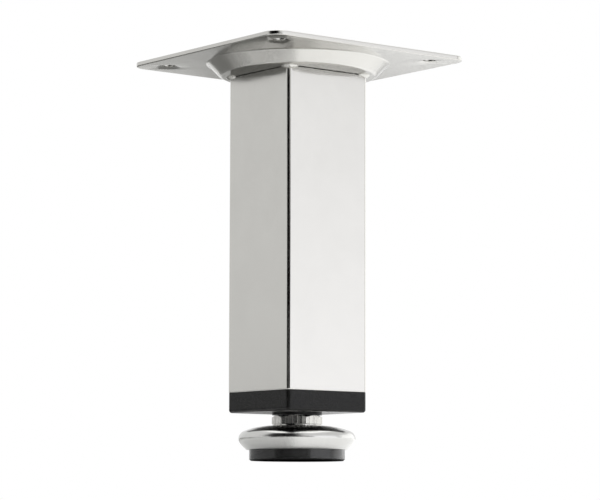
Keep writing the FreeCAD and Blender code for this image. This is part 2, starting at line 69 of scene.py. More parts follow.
# Tube and its welds
TUBE_WALL = 1.5 * MM
TUBE_CORNER = 1.8 * MM
TUBE_END_EDGE = 0.45 * MM
SEAM_GAP, SEAM_EDGE = 0.14 * MM, 0.2 * MM
SAWN_CUTS, SAWN_WANDER, SAWN_BURR = 26, 0.4 * MM, 0.1 * MM
WELD_HEIGHT, WELD_REACH = 1.2 * MM, 3.6 * MM
WELD_ROOT, WELD_TOE = 0.6 * TUBE_CORNER, 0.9 * TUBE_CORNER
WELD_CROWN, WELD_CROWN_TURN = 2.4 * MM, 30
WELD_UNEVEN, WELD_MARGIN = 0.07 * MM, 0.1 * MM

# Screw
RIVET_RADIUS, RIVET_HEIGHT, RIVET_ROUND = 6.5 * MM, 1.6 * MM, 0.9 * MM
NECK_RADIUS = 4.0 * MM
GRIP = 2.3 * MM
COLLAR_RADIUS, COLLAR_HEIGHT, COLLAR_ROUND = 9.7 * MM, 0.6 * MM, 0.2 * MM
HEX_FLATS, HEX_HEIGHT, HEX_TURN = 18.0 * MM, 3.3 * MM, math.radians(-16.4)
HEX_ROUND, HEX_CHAMFER, HEX_CLEAR = 0.7 * MM, math.radians(30), 3 * MM
THREAD_RADIUS, THREAD_ROOT, THREAD_PITCH = 6.0 * MM, 4.927 * MM, 1.75 * MM
THREAD_FLANK = math.radians(30)
THREAD_TIP = 1.2 * MM
SHANK_OVERLAP = 0.2 * MM

# Foot
CAP_SHEET = 0.8 * MM
CAP_FLAT = 15.5 * MM
CAP_HOLE = 4.3 * MM
CAP_TUCK = 20.28 * MM
CAP_TUCK_RISE = 3.0 * MM
CAP_WALL_TOP = 6.57 * MM
CAP_BROW, CAP_SHOULDER = 25 * MM, 3.0 * MM
CAP_TUCK_ROUND, CAP_TUCK_SLOPE = 3.75 * MM, 45
PAD_FACE, PAD_EDGE = 18.45 * MM, 0.6 * MM
PAD_STEP, PAD_STEP_HEIGHT = 20.55 * MM, 5.9 * MM
PAD_RIM_HEIGHT = 8.3 * MM
PAD_RING, PAD_RING_TOP = 16.0 * MM, 12.367 * MM
PAD_ROOM, PAD_FLOOR = 10.0 * MM, 3.5 * MM

# Floor and light. A lamp of LAMP_POWER watts to each square metre of its face adds one white to what is
# behind it. The curtains are dark cards that paint shade into the metal's reflections; they hang nearer
# than CURTAIN_SOLID, so that distance doesn't thin them.
FLOOR_RADIUS, FLOOR_FADE, FLOOR_GONE = 3.0, 1.3, 2.9
ROOM_LIGHT, ROOM_WHITE = 0.6, 1.0
LAMP_POWER = math.pi
CURTAIN_SOLID, CURTAIN_GONE = 8.0, 9.0

# Camera, fitted to the leg's edges. CAMERA_SIDE is the direction from the leg to it, seen from above.
CAMERA_PLACE = (-0.6377609, -0.8243332, -0.02422)
CAMERA_TURN = (95.94202, -0.14024, -37.79760)
CAMERA_LENS, CAMERA_SENSOR = 156.8755, 36
CAMERA_SIDE = math.atan2(-0.8243, -0.6378)

# Steps of a full turn
ROUND_STEPS, CAP_STEPS, PAD_STEPS = 144, 192, 160
HOLE_STEPS, WELD_STEPS, CARD_STEPS = 64, 56, 180
SCREW_STEPS, SHANK_STEPS, THREAD_STEPS = 96, 80, 40

# Faces that meet at less than this look like one smooth face
SMOOTH_ANGLE = math.radians(32)

# Sockets of a Mix node for colours, which have the same names as its sockets for numbers
MIX_SHARE, MIX_FIRST, MIX_SECOND, MIX_RESULT = 0, 6, 7, 2


# Materials

def colour(code):
    """An sRGB hex colour as the linear colour that shaders take."""
    parts = [int(code[place:place + 2], 16) / 255 for place in (1, 3, 5)]
    return [part / 12.92 if part <= 0.04045 else ((part + 0.055) / 1.055) ** 2.4 for part in parts] + [1]


def add_node(tree, kind, feeds=None, **settings):
    """Add a node with its settings; feeds gives its inputs a value, or the output that is linked to them."""
    node = tree.nodes.new(kind)
    for name, value in settings.items():
        setattr(node, name, value)
    for socket, feed in (feeds or {}).items():
        if isinstance(feed, bpy.types.NodeSocket):
            tree.links.new(feed, node.inputs[socket])
        else:
            node.inputs[socket].default_value = feed
    return node


def start_material(name):
    """A new material with no nodes in it yet."""
    material = bpy.data.materials.new(name)
    material.use_nodes = True
    tree = material.node_tree
    tree.nodes.clear()
    return material, tree


def satin_chrome_plate():
    """Chrome plate on ground steel: a slightly warm grey mirror, a little cloudy, with a fine grain."""
    material, tree = start_material("satin_chrome_plate")
    place = add_node(tree, "ShaderNodeTexCoord").outputs["Object"]
    cloud = add_node(tree, "ShaderNodeTexNoise", {"Vector": place, "Scale": 1 / (14 * MM), "Detail": 2.0})
    # The ground grain is about 0.05 mm wide; it is drawn at 0.4 mm to show at all.
    grain = add_node(tree, "ShaderNodeTexNoise", {"Vector": place, "Scale": 1 / (0.4 * MM), "Detail": 2.0})
    tint = add_node(tree, "ShaderNodeMix", {
        MIX_SHARE: cloud.outputs["Fac"], MIX_FIRST: colour("#BAB9B5"), MIX_SECOND: colour("#C3C2BE")},
        data_type="RGBA")
    haze = add_node(tree, "ShaderNodeMapRange", {"Value": cloud.outputs["Fac"], "From Min": 0.3,
                                                 "From Max": 0.7, "To Min": 0.12, "To Max": 0.17})
    relief = add_node(tree, "ShaderNodeBump", {"Height": grain.outputs["Fac"], "Strength": 0.06,
                                               "Distance": 0.01 * MM})
    shader = add_node(tree, "ShaderNodeBsdfPrincipled", {
        "Base Color": tint.outputs[MIX_RESULT], "Metallic": 1.0, "Roughness": haze.outputs["Result"],
        "Normal": relief.outputs["Normal"]})
    add_node(tree, "ShaderNodeOutputMaterial", {"Surface": shader.outputs["BSDF"]})
    return material


def bright_chrome_plate():
    """Chrome plate on a polished pressing: a clear mirror, with faint brush lines out from the axis."""
    material, tree = start_material("bright_chrome_plate")
    place = add_node(tree, "ShaderNodeTexCoord").outputs["Object"]
    level = add_node(tree, "ShaderNodeMapping", {"Vector": place, "Scale": (1, 1, 0)})
    spoke = add_node(tree, "ShaderNodeVectorMath", {0: level.outputs["Vector"]}, operation="NORMALIZE")
    # Brush lines 0.5 mm apart at the rim, 23 mm from the axis.
    lines = add_node(tree, "ShaderNodeTexNoise", {"Vector": spoke.outputs["Vector"], "Scale": 23 / 0.5,
                                                  "Detail": 3.0})
    tint = add_node(tree, "ShaderNodeMix", {
        MIX_SHARE: lines.outputs["Fac"], MIX_FIRST: colour("#BBBBB9"), MIX_SECOND: colour("#C8C8C5")},
        data_type="RGBA")
    haze = add_node(tree, "ShaderNodeMapRange", {"Value": lines.outputs["Fac"], "From Min": 0.3,
                                                 "From Max": 0.7, "To Min": 0.18, "To Max": 0.26})
    relief = add_node(tree, "ShaderNodeBump", {"Height": lines.outputs["Fac"], "Strength": 0.3,
                                               "Distance": 0.03 * MM})
    shader = add_node(tree, "ShaderNodeBsdfPrincipled", {
        "Base Color": tint.outputs[MIX_RESULT], "Metallic": 1.0, "Roughness": haze.outputs["Result"],
        "Normal": relief.outputs["Normal"]})
    add_node(tree, "ShaderNodeOutputMaterial", {"Surface": shader.outputs["BSDF"]})
    return material


def zinc_plated_steel():
    """Zinc plate on turned steel: a greyer, softer shine than chrome, with upright draw marks."""
    material, tree = start_material("zinc_plated_steel")
    place = add_node(tree, "ShaderNodeTexCoord").outputs["Object"]
    # Draw marks run the height of the hexagon; they are about 0.6 mm wide and are drawn at 1.1 mm to show.
    drawn = add_node(tree, "ShaderNodeMapping", {
        "Vector": place, "Scale": (1 / (1.1 * MM), 1 / (1.1 * MM), 1 / (22 * MM))})
    marks = add_node(tree, "ShaderNodeTexNoise", {"Vector": drawn.outputs["Vector"], "Scale": 1.0,
                                                  "Detail": 3.0})
    tint = add_node(tree, "ShaderNodeMix", {
        MIX_SHARE: marks.outputs["Fac"], MIX_FIRST: colour("#A6A5A1"), MIX_SECOND: colour("#C9C8C4")},
        data_type="RGBA")
    haze = add_node(tree, "ShaderNodeMapRange", {"Value": marks.outputs["Fac"], "From Min": 0.48,
                                                 "From Max": 0.66, "To Min": 0.12, "To Max": 0.5})
    relief = add_node(tree, "ShaderNodeBump", {"Height": marks.outputs["Fac"], "Strength": 0.9,
                                               "Distance": 0.15 * MM})
    shader = add_node(tree, "ShaderNodeBsdfPrincipled", {
        "Base Color": tint.outputs[MIX_RESULT], "Metallic": 1.0, "Roughness": haze.outputs["Result"],
        "Normal": relief.outputs["Normal"]})
    add_node(tree, "ShaderNodeOutputMaterial", {"Surface": shader.outputs["BSDF"]})
    return material


def black_polypropylene():
    """Moulded black polypropylene: a deep black with a soft sheen over the fine grain of the mould."""
    material, tree = start_material("black_polypropylene")
    place = add_node(tree, "ShaderNodeTexCoord").outputs["Object"]
    # Spark-eroded mould grain, about 0.15 mm in the real piece, is drawn at 0.35 mm to show.
    grain = add_node(tree, "ShaderNodeTexNoise", {"Vector": place, "Scale": 1 / (0.35 * MM), "Detail": 2.0})
    tint = add_node(tree, "ShaderNodeMix", {
        MIX_SHARE: grain.outputs["Fac"], MIX_FIRST: colour("#0A0A09"), MIX_SECOND: colour("#121211")},
        data_type="RGBA")
    haze = add_node(tree, "ShaderNodeMapRange", {"Value": grain.outputs["Fac"], "From Min": 0.3,
                                                 "From Max": 0.7, "To Min": 0.22, "To Max": 0.3})
    relief = add_node(tree, "ShaderNodeBump", {"Height": grain.outputs["Fac"], "Strength": 0.25,
                                               "Distance": 0.03 * MM})
    shader = add_node(tree, "ShaderNodeBsdfPrincipled", {
        "Base Color": tint.outputs[MIX_RESULT], "Roughness": haze.outputs["Result"], "IOR": 1.49,
        "Specular IOR Level": 0.22, "Normal": relief.outputs["Normal"]})
    add_node(tree, "ShaderNodeOutputMaterial", {"Surface": shader.outputs["BSDF"]})
    return material


def black_polyethylene():
    """Moulded black polyethylene: waxy, shinier than the plug, with turning marks round its side."""
    material, tree = start_material("black_polyethylene")
    place = add_node(tree, "ShaderNodeTexCoord").outputs["Object"]
    # The mould was turned: rings 0.3 mm apart, long round the side, drawn as noise squeezed upright.
    turned = add_node(tree, "ShaderNodeMapping", {
        "Vector": place, "Scale": (1 / (9 * MM), 1 / (9 * MM), 1 / (0.3 * MM))})
    rings = add_node(tree, "ShaderNodeTexNoise", {"Vector": turned.outputs["Vector"], "Scale": 1.0,
                                                  "Detail": 2.0})
    tint = add_node(tree, "ShaderNodeMix", {
        MIX_SHARE: rings.outputs["Fac"], MIX_FIRST: colour("#090908"), MIX_SECOND: colour("#121211")},
        data_type="RGBA")
    haze = add_node(tree, "ShaderNodeMapRange", {"Value": rings.outputs["Fac"], "From Min": 0.3,
                                                 "From Max": 0.7, "To Min": 0.16, "To Max": 0.24})
    relief = add_node(tree, "ShaderNodeBump", {"Height": rings.outputs["Fac"], "Strength": 0.15,
                                               "Distance": 0.03 * MM})
    shader = add_node(tree, "ShaderNodeBsdfPrincipled", {
        "Base Color": tint.outputs[MIX_RESULT], "Roughness": haze.outputs["Result"], "IOR": 1.51,
        "Specular IOR Level": 0.55, "Normal": relief.outputs["Normal"]})
    add_node(tree, "ShaderNodeOutputMaterial", {"Surface": shader.outputs["BSDF"]})
    return material


# Modelling

def edit(piece):
    """Open one piece, and nothing else, in edit mode."""
    bpy.ops.object.select_all(action="DESELECT")
    piece.select_set(True)
    bpy.context.view_layer.objects.active = piece
    bpy.ops.object.mode_set(mode="EDIT")


def close():
    """Leave edit mode."""
    bpy.ops.object.mode_set(mode="OBJECT")


def choose(piece, kind, wanted):
    """In edit mode, select only the points, edges or faces for which wanted says yes."""
    bpy.ops.mesh.select_mode(type=kind)
    bpy.ops.mesh.select_all(action="DESELECT")
    shape = bmesh.from_edit_mesh(piece.data)
    for part in {"VERT": shape.verts, "EDGE": shape.edges, "FACE": shape.faces}[kind]:
        if wanted(part):
            part.select_set(True)
    shape.select_flush_mode()
    bmesh.update_edit_mesh(piece.data)


def middle(edge):
    """The middle of an edge."""
    return (edge.verts[0].co + edge.verts[1].co) / 2


def rise(edge):
    """How far an edge climbs from one end to the other."""
    return abs(edge.verts[0].co.z - edge.verts[1].co.z)


def is_level(face):
    """Whether a face lies level rather than upright."""
    return abs(face.normal.z) > 0.7


def square_reach(place):
    """Half the side of the square round the leg's axis that runs through a place."""
    return max(abs(place.x), abs(place.y))


def new_piece(name):
    """Name the primitive that was just added, and put its place into its mesh."""
    piece = bpy.context.object
    piece.name = piece.data.name = name
    bpy.ops.object.transform_apply(location=True, rotation=True, scale=True)
    return piece


def draw_section(name, points):
    """Extrude one point from corner to corner of a half section, given as radius and height."""
    bpy.ops.object.select_all(action="DESELECT")
    bpy.ops.mesh.primitive_plane_add(size=MM, location=(points[0][0], 0, points[0][1]))
    piece = new_piece(name)
    edit(piece)
    bpy.ops.mesh.select_mode(type="VERT")
    bpy.ops.mesh.select_all(action="SELECT")
    bpy.ops.mesh.merge(type="CENTER")
    for (out, up), (next_out, next_up) in zip(points, points[1:]):
        step = (next_out - out, 0, next_up - up)
        bpy.ops.mesh.extrude_vertices_move(TRANSFORM_OT_translate={"value": step})
    return piece


def round_corner(piece, corner, radius, turn, steps):
    """Round the corner of a drawn section, where its line turns by so many degrees."""
    choose(piece, "VERT", lambda point: math.hypot(point.co.x - corner[0], point.co.z - corner[1]) < NEAR)
    cut_back = radius * math.tan(math.radians(turn) / 2)
    bpy.ops.mesh.bevel(offset=cut_back, offset_type="OFFSET", segments=steps, affect="VERTICES")


def spin_round(steps=ROUND_STEPS):
    """Spin the drawn section that is open once round the leg's axis, and close its seam and poles."""
    bpy.ops.mesh.select_mode(type="VERT")
    bpy.ops.mesh.select_all(action="SELECT")
    bpy.ops.mesh.spin(steps=steps, angle=2 * math.pi, center=(0, 0, 0), axis=(0, 0, 1))
    bpy.ops.mesh.select_all(action="SELECT")
    bpy.ops.mesh.remove_doubles(threshold=DOUBLE)
    bpy.ops.mesh.normals_make_consistent(inside=False)


def face_down(piece):
    """Turn an open sheet so that its faces look down, before it gets its thickness."""
    bpy.ops.mesh.select_all(action="SELECT")
    shape = bmesh.from_edit_mesh(piece.data)
    if sum(face.normal.z * face.calc_area() for face in shape.faces) > 0:
        bpy.ops.mesh.flip_normals()


def apply_modifier(piece, kind, **settings):
    """Add a modifier with its settings, and apply it."""
    bpy.context.view_layer.objects.active = piece
    modifier = piece.modifiers.new(kind.lower(), kind)
    for name, value in settings.items():
        setattr(modifier, name, value)
    bpy.ops.object.modifier_apply(modifier=modifier.name)


def combine(piece, tool, operation):
    """Cut a piece with a tool, keep what they share, or unite them; the tool is used up."""
    apply_modifier(piece, "BOOLEAN", operation=operation, solver="EXACT", object=tool)
    bpy.data.objects.remove(tool)


def merge_slivers(piece):
    """Merge the slivers that cutting leaves where two surfaces nearly meet."""
    edit(piece)
    bpy.ops.mesh.select_mode(type="VERT")
    bpy.ops.mesh.select_all(action="SELECT")
    bpy.ops.mesh.remove_doubles(threshold=SLIVER)
    bpy.ops.mesh.dissolve_degenerate(threshold=SLIVER)
    close()


def join(pieces, name):
    """Make one mesh of several pieces."""
    bpy.ops.object.select_all(action="DESELECT")
    for piece in pieces:
        piece.select_set(True)
    bpy.context.view_layer.objects.active = pieces[0]
    bpy.ops.object.join()
    pieces[0].name = pieces[0].data.name = name
    return pieces[0]


def smooth(piece):
    """Smooth shading that stays crisp at corners and flat on flats."""
    bpy.ops.object.select_all(action="DESELECT")
    piece.select_set(True)
    bpy.context.view_layer.objects.active = piece
    bpy.ops.object.shade_smooth_by_angle(angle=SMOOTH_ANGLE)
    apply_modifier(piece, "WEIGHTED_NORMAL", keep_sharp=True)


def mount(piece, body, slot, material, *nodes):
    """Give a finished piece its finish and its body, in place of the CAD nodes that it stands for."""
    smooth(piece)
    piece.data.materials.clear()
    piece.data.materials.append(material)
    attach(piece, body)
    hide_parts(*nodes)


def make_plate(material):
    """The pressed plate: sheet of one thickness, with a round dish, bends and four countersunk holes."""
    low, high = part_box("mounting_plate")
    floor, face, half = low[2], high[2] - PLATE_SHEET, high[0]
    rim = DISH_FLOOR + (face - floor) / math.tan(math.radians(DISH_SLOPE))
    section = [(0, floor), (DISH_FLOOR, floor), (rim, face), (DISH_RING, face)]
    plate = draw_section("pressed_plate", section)
    round_corner(plate, section[1], FLOOR_BEND, DISH_SLOPE, steps=8)
    round_corner(plate, section[2], RIM_BEND, DISH_SLOPE, steps=6)
    spin_round()
    close()

    # The square outline, filled in to the dish.
    bpy.ops.object.select_all(action="DESELECT")
    bpy.ops.mesh.primitive_plane_add(size=2 * half, location=(0, 0, face))
    outline = new_piece("plate_outline")
    edit(outline)
    bpy.ops.mesh.select_mode(type="VERT")
    bpy.ops.mesh.select_all(action="SELECT")
    bpy.ops.mesh.bevel(offset=PLATE_CORNER, offset_type="OFFSET", segments=12, affect="VERTICES")
    bpy.ops.mesh.select_all(action="SELECT")
    bpy.ops.mesh.delete(type="ONLY_FACE")
    close()
    plate = join([plate, outline], "pressed_plate")
    edit(plate)
    choose(plate, "EDGE", lambda edge: len(edge.link_faces) < 2 and middle(edge).xy.length > DISH_FLOOR)
    bpy.ops.mesh.fill(use_beauty=True)
    bpy.ops.mesh.select_all(action="SELECT")
    bpy.ops.mesh.normals_make_consistent(inside=False)
    face_down(plate)
    close()
    apply_modifier(plate, "SOLIDIFY", thickness=PLATE_SHEET, offset=-1, use_even_offset=True)

    # Sheared edges are rolled off a little.
    edit(plate)
    choose(plate, "EDGE", lambda edge: square_reach(middle(edge)) > half - PLATE_CORNER
           and middle(edge).xy.length > DISH_RING and len(edge.link_faces) == 2
           and sorted(is_level(side) for side in edge.link_faces) == [False, True])
    bpy.ops.mesh.bevel(offset=PLATE_EDGE, offset_type="OFFSET", segments=3, affect="EDGES")
    close()

    # One cutter makes the hole and its countersink, from below.
    below, above = face - MM, high[2] + MM
    for across in (-SCREW_HOLE, SCREW_HOLE):
        for along in (-SCREW_HOLE, SCREW_HOLE):
            cutter = draw_section("hole_cutter", [
                (0, below), (SINK_RADIUS, below), (SINK_RADIUS, face), (HOLE_RADIUS, face + SINK_DEPTH),
                (HOLE_RADIUS, above), (0, above)])
            spin_round(HOLE_STEPS)
            bpy.ops.transform.translate(value=(across, along, 0))
            close()
            combine(plate, cutter, "DIFFERENCE")
    mount(plate, "leg", "satin_chrome", material, "mounting_plate")


def tube_block(name, low, high):
    """The tube's outside: an upright block with rounded corners, left open in edit mode."""
    bpy.ops.object.select_all(action="DESELECT")
    bpy.ops.mesh.primitive_cube_add(size=1, location=[(a + b) / 2 for a, b in zip(low, high)],
                                    scale=[b - a for a, b in zip(low, high)])
    block = new_piece(name)
    edit(block)
    choose(block, "EDGE", lambda edge: rise(edge) > NEAR)
    bpy.ops.mesh.bevel(offset=TUBE_CORNER, offset_type="OFFSET", segments=10, affect="EDGES")
    return block


def make_tube(material):
    """The square tube: open at both ends, sawn short and uneven, so that a seam shows under the dish."""
    low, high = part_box("leg_tube")
    head = high[2] - SEAM_GAP
    tube = tube_block("square_tube", low, (high[0], high[1], head))
    choose(tube, "FACE", is_level)
    bpy.ops.mesh.delete(type="FACE")
    close()
    apply_modifier(tube, "SOLIDIFY", thickness=TUBE_WALL, offset=-1, use_even_offset=True)
    edit(tube)
    skin = high[0] - TUBE_WALL / 2
    for end, broken in ((low[2], TUBE_END_EDGE), (head, SEAM_EDGE)):
        choose(tube, "EDGE", lambda edge: abs(middle(edge).z - end) < NEAR and rise(edge) < NEAR
               and square_reach(middle(edge)) > skin
               and not all(is_level(side) for side in edge.link_faces))
        bpy.ops.mesh.bevel(offset=broken, offset_type="OFFSET", segments=3, affect="EDGES")

    # The saw wandered: the upper edge is divided and its points moved, those on a flat within that flat.
    lip, flat = head - SEAM_EDGE, high[0] - TUBE_CORNER - SEAM_EDGE
    choose(tube, "EDGE", lambda edge: min(point.co.z for point in edge.verts) > lip - NEAR
           and edge.calc_length() > flat and square_reach(middle(edge)) > skin)
    bpy.ops.mesh.subdivide(number_cuts=SAWN_CUTS)
    choose(tube, "VERT", lambda point: point.co.z > lip + NEAR and square_reach(point.co) > skin
           and min(abs(point.co.x), abs(point.co.y)) < flat)
    bpy.ops.transform.vertex_random(offset=SAWN_BURR, uniform=0.0, normal=0.0, seed=3)
    sides = ((0, low[0]), (0, high[0]), (1, low[1]), (1, high[1]))
    for seed, (axis, side) in enumerate(sides, start=10):
        choose(tube, "VERT", lambda point: abs(point.co.z - lip) < NEAR
               and abs(point.co[axis] - side) < NEAR and abs(point.co[1 - axis]) < flat)
        bpy.ops.transform.vertex_random(offset=SAWN_WANDER, uniform=0.0, normal=0.0, seed=seed)
        bpy.ops.transform.resize(value=(axis, 1 - axis, 1), center_override=(side, side, 0))
    close()
    mount(tube, "leg", "satin_chrome", material, "leg_tube")


def make_welds(material):
    """Four low weld beads that run round the tube's corners, a little uneven as welds are."""
    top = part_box("corner_welds")[1][2]
    tube_low, tube_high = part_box("leg_tube")
    centre = tube_high[0] - TUBE_CORNER
    foot = top - WELD_HEIGHT
    crown = ((TUBE_CORNER + WELD_REACH) / 2, foot + WELD_HEIGHT / 4)
    section = [(WELD_ROOT, top), (WELD_REACH, top), crown, (WELD_TOE, foot), (WELD_ROOT, foot),
               (WELD_ROOT, top)]
    first = draw_section("weld_beads", section)
    round_corner(first, crown, WELD_CROWN, WELD_CROWN_TURN, steps=5)
    bpy.ops.mesh.select_all(action="SELECT")
    bpy.ops.mesh.remove_doubles(threshold=DOUBLE)
    spin_round(WELD_STEPS)
    bpy.ops.transform.translate(value=(centre, centre, 0))
    choose(first, "VERT", lambda point: foot + WELD_MARGIN < point.co.z < top - WELD_MARGIN)
    bpy.ops.transform.vertex_random(offset=WELD_UNEVEN, uniform=0.0, normal=0.0, seed=5)
    close()
    block = tube_block("weld_cutter", (tube_low[0], tube_low[1], foot - MM),
                       (tube_high[0], tube_high[1], top + MM))
    close()
    combine(first, block, "DIFFERENCE")
    beads = [first]
    for turn in (1, 2, 3):
        bead = first.copy()
        bead.data = first.data.copy()
        bpy.context.scene.collection.objects.link(bead)
        edit(bead)
        bpy.ops.mesh.select_all(action="SELECT")
        bpy.ops.transform.rotate(value=turn * math.pi / 2, orient_axis="Z", center_override=(0, 0, 0))
        close()
        beads.append(bead)
    mount(join(beads, "weld_beads"), "leg", "satin_chrome", material, "corner_welds")


def make_screw(material):
    """The adjusting screw: a riveted neck, a thin collar, a chamfered hexagon and a right-hand thread."""
    low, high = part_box("adjusting_screw")
    foot, tip = low[2], high[2]
    rivet_top = foot + RIVET_HEIGHT
    seat = rivet_top + GRIP
    collar_top = seat + COLLAR_HEIGHT
    hex_top = collar_top + HEX_HEIGHT
    stub = hex_top + MM
    section = [(0, foot), (RIVET_RADIUS, foot), (RIVET_RADIUS, rivet_top), (NECK_RADIUS, rivet_top),
               (NECK_RADIUS, seat), (COLLAR_RADIUS, seat), (COLLAR_RADIUS, collar_top),
               (NECK_RADIUS, collar_top), (NECK_RADIUS, stub), (0, stub)]
    screw = draw_section("adjusting_screw_m12", section)
    round_corner(screw, section[1], RIVET_ROUND, 90, steps=6)
    round_corner(screw, section[6], COLLAR_ROUND, 90, steps=3)
    spin_round(SCREW_STEPS)
    close()

    # The hexagon, with its corners turned off at 30 degrees on top.
    bpy.ops.object.select_all(action="DESELECT")
    bpy.ops.mesh.primitive_cylinder_add(
        vertices=6, radius=HEX_FLATS / math.sqrt(3), depth=HEX_HEIGHT,
        location=(0, 0, (collar_top + hex_top) / 2), rotation=(0, 0, HEX_TURN))
    hexagon = new_piece("hexagon")
    edit(hexagon)
    choose(hexagon, "EDGE", lambda edge: rise(edge) > NEAR)
    bpy.ops.mesh.bevel(offset=HEX_ROUND, offset_type="OFFSET", segments=4, affect="EDGES")
    close()
    clear = HEX_FLATS / 2 + HEX_CLEAR
    turned = draw_section("hexagon_turning", [
        (0, seat), (clear, seat), (clear, hex_top - HEX_CLEAR * math.tan(HEX_CHAMFER)),
        (HEX_FLATS / 2, hex_top), (0, hex_top)])
    spin_round(SCREW_STEPS)
    close()
    combine(hexagon, turned, "INTERSECT")
    combine(screw, hexagon, "UNION")

    # The thread: one pitch of its section, screwed up the shank, then trimmed to the shank's ends.
    flat = THREAD_PITCH / 8
    flank = (THREAD_RADIUS - THREAD_ROOT) * math.tan(THREAD_FLANK)
    start = tip + THREAD_PITCH
    crest, crest_end = THREAD_PITCH / 2 - flat / 2, THREAD_PITCH / 2 + flat / 2
    heights = [0, crest - flank, crest, crest_end, crest_end + flank, THREAD_PITCH]
    outs = [THREAD_ROOT, THREAD_ROOT, THREAD_RADIUS, THREAD_RADIUS, THREAD_ROOT, THREAD_ROOT]
    thread = draw_section("m12_thread", [(out, start + up) for out, up in zip(outs, heights)])
    turns = math.ceil((tip - hex_top) / THREAD_PITCH) + 3
    bpy.ops.mesh.select_all(action="SELECT")
    bpy.ops.mesh.screw(steps=THREAD_STEPS, turns=turns, center=(0, 0, 0), axis=(0, 0, -1))
    bpy.ops.mesh.select_all(action="SELECT")
    bpy.ops.mesh.remove_doubles(threshold=DOUBLE)
    choose(thread, "EDGE", lambda edge: len(edge.link_faces) == 1)
    bpy.ops.mesh.fill(use_beauty=False)
    bpy.ops.mesh.select_all(action="SELECT")
    bpy.ops.mesh.normals_make_consistent(inside=False)
    close()
    root = hex_top - SHANK_OVERLAP
    shank = draw_section("shank", [
        (0, root), (THREAD_RADIUS, root), (THREAD_RADIUS, tip - THREAD_TIP),
        (THREAD_RADIUS - THREAD_TIP, tip), (0, tip)])
    spin_round(SHANK_STEPS)
    close()
    combine(shank, thread, "INTERSECT")
    combine(screw, shank, "UNION")
    merge_slivers(screw)
    mount(screw, "screw", "zinc_steel", material, "adjusting_screw")


def make_cap(material):
    """The foot's pressed cap: thin sheet that falls from a flat round the screw and is tucked in below."""
    low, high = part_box("foot_cap")
    lip, top, wall = low[2], high[2], high[0]
    section = [(CAP_HOLE, top), (CAP_FLAT, top), (wall, lip + CAP_WALL_TOP), (wall, lip + CAP_TUCK_RISE),
               (CAP_TUCK, lip)]
    slope = math.degrees(math.atan2(top - lip - CAP_WALL_TOP, wall - CAP_FLAT))
    cap = draw_section("foot_cap_pressing", section)
    round_corner(cap, section[1], CAP_BROW, slope, steps=10)
    round_corner(cap, section[2], CAP_SHOULDER, 90 - slope, steps=12)
    round_corner(cap, section[3], CAP_TUCK_ROUND, CAP_TUCK_SLOPE, steps=8)
    spin_round(CAP_STEPS)
    bpy.ops.mesh.select_all(action="SELECT")
    shape = bmesh.from_edit_mesh(cap.data)
    if sum(face.normal.z for face in shape.faces if face.calc_center_median().z > lip + CAP_WALL_TOP) < 0:
        bpy.ops.mesh.flip_normals()
    close()
    apply_modifier(cap, "SOLIDIFY", thickness=CAP_SHEET, offset=-1, use_even_offset=True)
    mount(cap, "foot", "bright_chrome", material, "foot_cap")


def make_pad(material):
    """The foot's pad: a moulded disc, with a flange that the cap's lip holds and a ring inside the cap.

    Its heights are from the floor at 0, and its underside lies in the floor's plane.
    """
    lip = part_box("foot_cap")[0][2]
    side = PAD_FACE + PAD_EDGE
    section = [(0, 0), (PAD_FACE, 0), (side, PAD_EDGE), (side, lip), (PAD_STEP, PAD_STEP_HEIGHT),
               (PAD_STEP, PAD_RIM_HEIGHT), (PAD_RING, PAD_RING_TOP), (PAD_ROOM, PAD_RING_TOP),
               (PAD_ROOM, PAD_FLOOR), (0, PAD_FLOOR)]
    pad = draw_section("moulded_pad", section)
    spin_round(PAD_STEPS)
    close()
    mount(pad, "foot", "pad_plastic", material, "foot_pad")


# Floor, light and camera

def add_floor():
    """A pale matt floor that stays under the foot, keeps the shadow and thins out to white far away.

    From below it is clear, because the camera looks up at the plate.
    """
    bpy.ops.object.select_all(action="DESELECT")
    bpy.ops.mesh.primitive_circle_add(vertices=96, radius=FLOOR_RADIUS, fill_type="NGON", location=(0, 0, 0))
    floor = new_piece("studio_floor")
    material, tree = start_material("white_studio_paper")
    place = add_node(tree, "ShaderNodeTexCoord").outputs["Object"]
    mottle = add_node(tree, "ShaderNodeTexNoise", {"Vector": place, "Scale": 4.0, "Detail": 1.0})
    tint = add_node(tree, "ShaderNodeMix", {
        MIX_SHARE: mottle.outputs["Fac"], MIX_FIRST: colour("#F3F3F2"), MIX_SECOND: colour("#F6F6F5")},
        data_type="RGBA")
    paper = add_node(tree, "ShaderNodeBsdfPrincipled", {
        "Base Color": tint.outputs[MIX_RESULT], "Roughness": 0.9, "Specular IOR Level": 0.1})
    clear = add_node(tree, "ShaderNodeBsdfTransparent")
    side = add_node(tree, "ShaderNodeNewGeometry").outputs["Backfacing"]
    away = add_node(tree, "ShaderNodeVectorMath", {0: place}, operation="LENGTH")
    fade = add_node(tree, "ShaderNodeMapRange", {
        "Value": away.outputs["Value"], "From Min": FLOOR_FADE, "From Max": FLOOR_GONE},
        interpolation_type="SMOOTHSTEP")
    thin = add_node(tree, "ShaderNodeMath", {0: side, 1: fade.outputs["Result"]}, operation="MAXIMUM")
    either = add_node(tree, "ShaderNodeMixShader", {
        "Fac": thin.outputs["Value"], 1: paper.outputs["BSDF"], 2: clear.outputs["BSDF"]})
    add_node(tree, "ShaderNodeOutputMaterial", {"Surface": either.outputs["Shader"]})
    floor.data.materials.append(material)
    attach(floor, "swivel")


